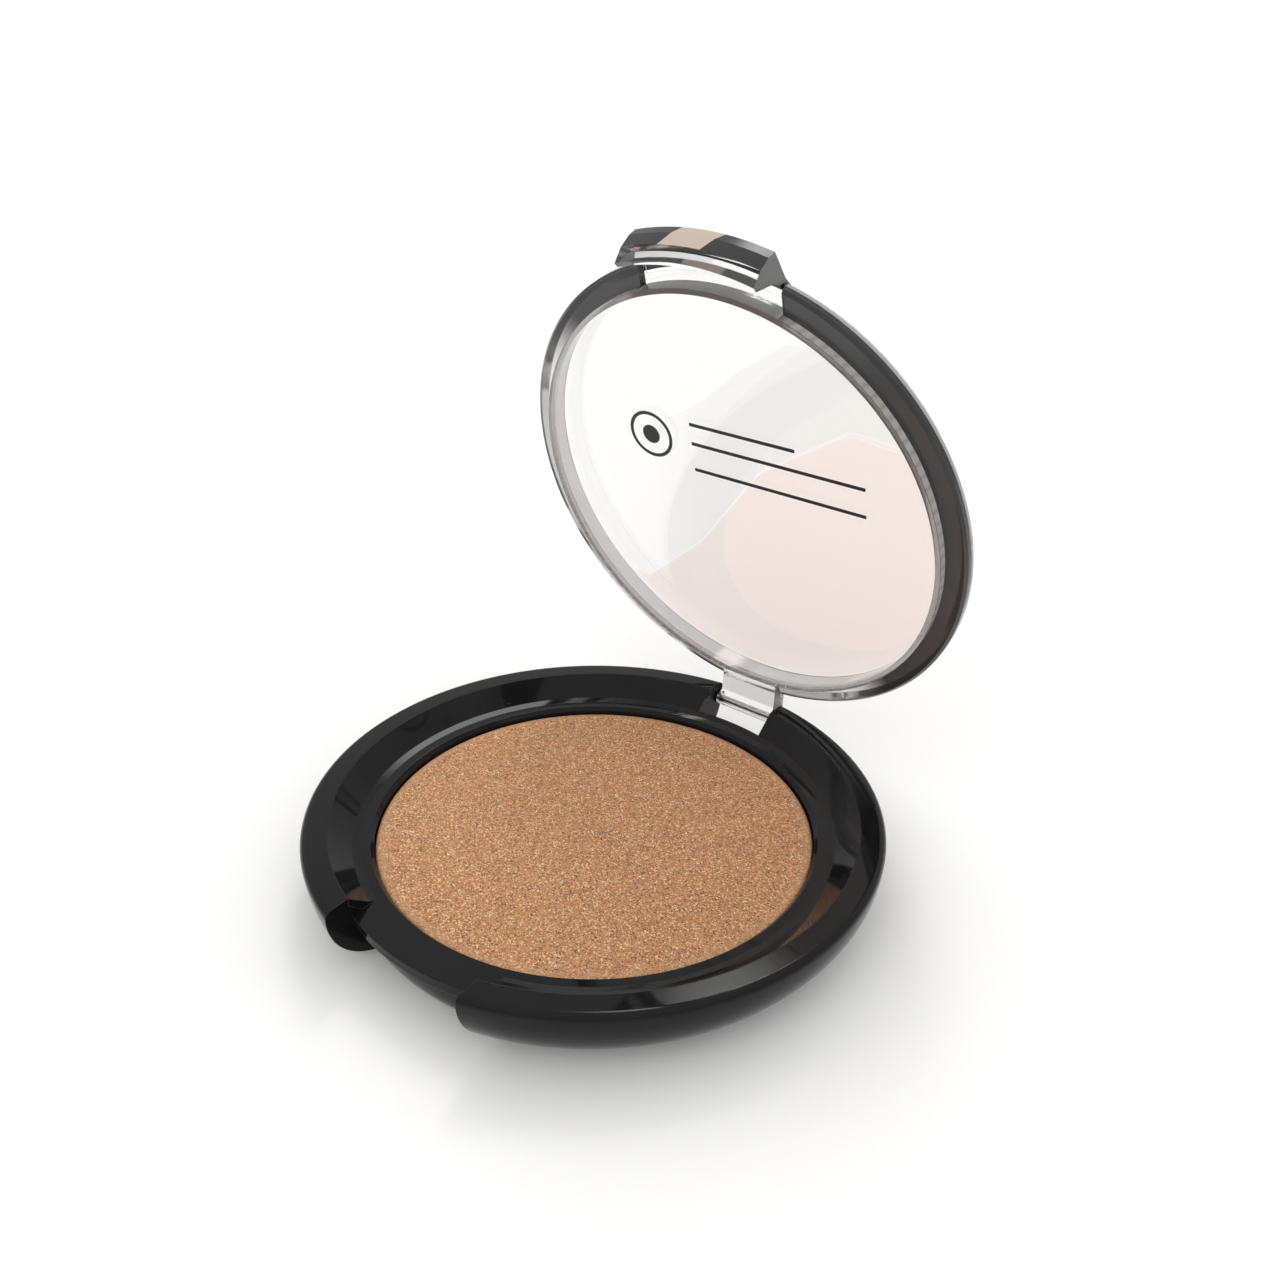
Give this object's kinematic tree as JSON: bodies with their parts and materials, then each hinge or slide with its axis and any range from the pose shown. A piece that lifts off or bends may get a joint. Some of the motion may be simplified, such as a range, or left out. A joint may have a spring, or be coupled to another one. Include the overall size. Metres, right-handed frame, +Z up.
{
  "type": "powder compact",
  "caption": "Round pressed-powder compact: shallow black bowl with a finger notch, powder in a metal pan, and a clear clasped lid on a pin hinge.",
  "frame": {"origin": "centre of the round base, on the plane that it stands on", "axes": "+Z up, +Y from the finger notch at the front to the hinge at the back, +X to the right along the hinge pin"},
  "size_m": [0.08, 0.0814, 0.086],
  "materials": {
    "black_plastic": "moulded, glossy",
    "hot_melt": "cloudy glue",
    "pan_metal": "drawn sheet",
    "pressed_powder": "fine shimmering powder",
    "label_paper": "blank, satin",
    "pin_steel": "drawn wire",
    "clear_plastic": "clear, polished",
    "printed_ink": "printed"
  },
  "bodies": {
    "base": {"base_shell": "black_plastic", "inner_frame": "black_plastic", "pan_glue": "hot_melt", "powder_pan": "pan_metal", "powder_cake": "pressed_powder", "base_label": "label_paper", "hinge_pin": "pin_steel"},
    "lid": {"lid": "clear_plastic", "window_print": "printed_ink"}
  },
  "joints": [
    {"name": "lid_hinge", "type": "hinge", "parent": "base", "child": "lid", "pos_m": [0, 0.0385, 0.0091], "axis": [-1, 0, 0], "range_deg": [-75, 30]}
  ]
}
